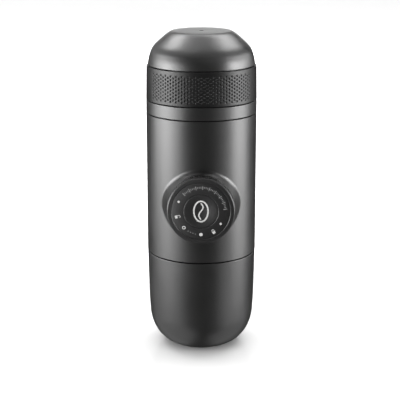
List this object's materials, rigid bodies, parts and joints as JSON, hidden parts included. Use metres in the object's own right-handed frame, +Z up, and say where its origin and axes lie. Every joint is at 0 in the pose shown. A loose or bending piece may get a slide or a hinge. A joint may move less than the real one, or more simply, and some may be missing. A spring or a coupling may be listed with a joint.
{
  "type": "handheld manual espresso maker",
  "caption": "Upright capsule coffee maker worked by hand: screw-on water tank, barrel with a locking push-pump knob, portafilter ring, dimpled grip head and a cup on top.",
  "frame": {"origin": "centre of the base, on the capsule's centre line", "axes": "+Z up along the capsule, -Y towards the pump knob, +X to the right of someone facing the knob"},
  "size_m": [0.06, 0.07, 0.175],
  "materials": {
    "shell_plastic": "satin gunmetal grey moulded housing",
    "ring_plastic": "satin gunmetal grey ring",
    "head_plastic": "satin gunmetal grey, dimpled grip",
    "cup_plastic": "satin gunmetal grey cup",
    "tank_plastic": "satin gunmetal grey tank",
    "knob_plastic": "satin black",
    "inner_plastic": "black moulded, inside parts",
    "liner_plastic": "dark food-safe liner",
    "scoop_plastic": "black scoop",
    "seal_rubber": "black silicone rubber",
    "steel": "stainless steel"
  },
  "bodies": {
    "main_body": {"body_shell": "shell_plastic", "lower_deck": "inner_plastic", "lower_seal": "seal_rubber", "pump_body": "inner_plastic", "cylinder_liner": "steel", "rod_guide": "inner_plastic", "column_seal": "seal_rubber", "inlet_strainer": "steel", "inlet_valve_seat": "inner_plastic", "outlet_valve_seat": "inner_plastic", "outlet_valve_spring": "steel", "outlet_valve_retainer": "steel", "air_valve": "seal_rubber", "upper_deck": "inner_plastic", "upper_seal": "seal_rubber", "shower_screen": "steel", "shower_screw": "steel", "group_gasket": "seal_rubber", "deck_screws": "steel", "pump_screws": "steel", "foot_screws": "steel", "guide_collar": "inner_plastic", "lock_ring": "inner_plastic", "return_spring": "steel"},
    "inlet_valve": {"inlet_valve_disc": "seal_rubber"},
    "outlet_valve": {"outlet_valve_ball": "steel"},
    "piston": {"piston_rod": "steel", "piston_head": "inner_plastic", "piston_o_rings": "seal_rubber", "spring_washer": "steel", "knob_screw": "steel"},
    "knob": {"knob_cap": "knob_plastic", "knob_badge": "knob_plastic"},
    "portafilter_seal": {"portafilter_gasket": "seal_rubber"},
    "portafilter_unit": {"portafilter": "ring_plastic", "filter_basket": "steel", "filter_screen": "steel", "scoop": "scoop_plastic"},
    "outlet_seal": {"outlet_gasket": "seal_rubber"},
    "outlet_unit": {"outlet_head": "head_plastic", "outlet_nozzle": "inner_plastic", "nozzle_seal": "seal_rubber"},
    "cup_unit": {"cup": "cup_plastic", "cup_seal": "seal_rubber"},
    "tank_seal": {"tank_gasket": "seal_rubber"},
    "tank_unit": {"tank_shell": "tank_plastic", "tank_liner": "liner_plastic"}
  },
  "joints": [
    {"name": "piston_slide", "type": "slide", "parent": "main_body", "child": "piston", "axis": [0, -1, 0], "range_m": [0, 0.022], "deforming": ["return_spring"]},
    {"name": "knob_turn", "type": "hinge", "parent": "piston", "child": "knob", "pos_m": [0, -0.036, 0.0856], "axis": [0, -1, 0], "range_deg": [0, 45]},
    {"name": "inlet_valve_lift", "type": "slide", "parent": "main_body", "child": "inlet_valve", "axis": [0, 0, 1], "range_m": [0, 0.001]},
    {"name": "outlet_valve_lift", "type": "slide", "parent": "main_body", "child": "outlet_valve", "axis": [0, 0, 1], "range_m": [0, 0.0012], "deforming": ["outlet_valve_spring"]},
    {"name": "portafilter_rise", "type": "slide", "parent": "main_body", "child": "portafilter_seal", "axis": [0, 0, 1], "range_m": [0, 0.00901]},
    {"name": "portafilter_turn", "type": "hinge", "parent": "portafilter_seal", "child": "portafilter_unit", "pos_m": [0, 0, 0.1275], "axis": [0, 0, 1], "range_deg": [0, 540]},
    {"name": "outlet_rise", "type": "slide", "parent": "portafilter_unit", "child": "outlet_seal", "axis": [0, 0, 1], "range_m": [0, 0.00901]},
    {"name": "outlet_turn", "type": "hinge", "parent": "outlet_seal", "child": "outlet_unit", "pos_m": [0, 0, 0.143], "axis": [0, 0, 1], "range_deg": [0, 540]},
    {"name": "cup_lift", "type": "slide", "parent": "outlet_unit", "child": "cup_unit", "axis": [0, 0, 1], "range_m": [0, 0.03]},
    {"name": "tank_drop", "type": "slide", "parent": "main_body", "child": "tank_seal", "axis": [0, 0, 1], "range_m": [-0.00901, 0]},
    {"name": "tank_turn", "type": "hinge", "parent": "tank_seal", "child": "tank_unit", "pos_m": [0, 0, 0.049], "axis": [0, 0, 1], "range_deg": [-540, 0]}
  ],
  "couplings": [
    {"joint": "portafilter_rise", "follows": "portafilter_turn", "m_per_rad": 0.00095493},
    {"joint": "outlet_rise", "follows": "outlet_turn", "m_per_rad": 0.00095493},
    {"joint": "tank_drop", "follows": "tank_turn", "m_per_rad": 0.00095493}
  ]
}
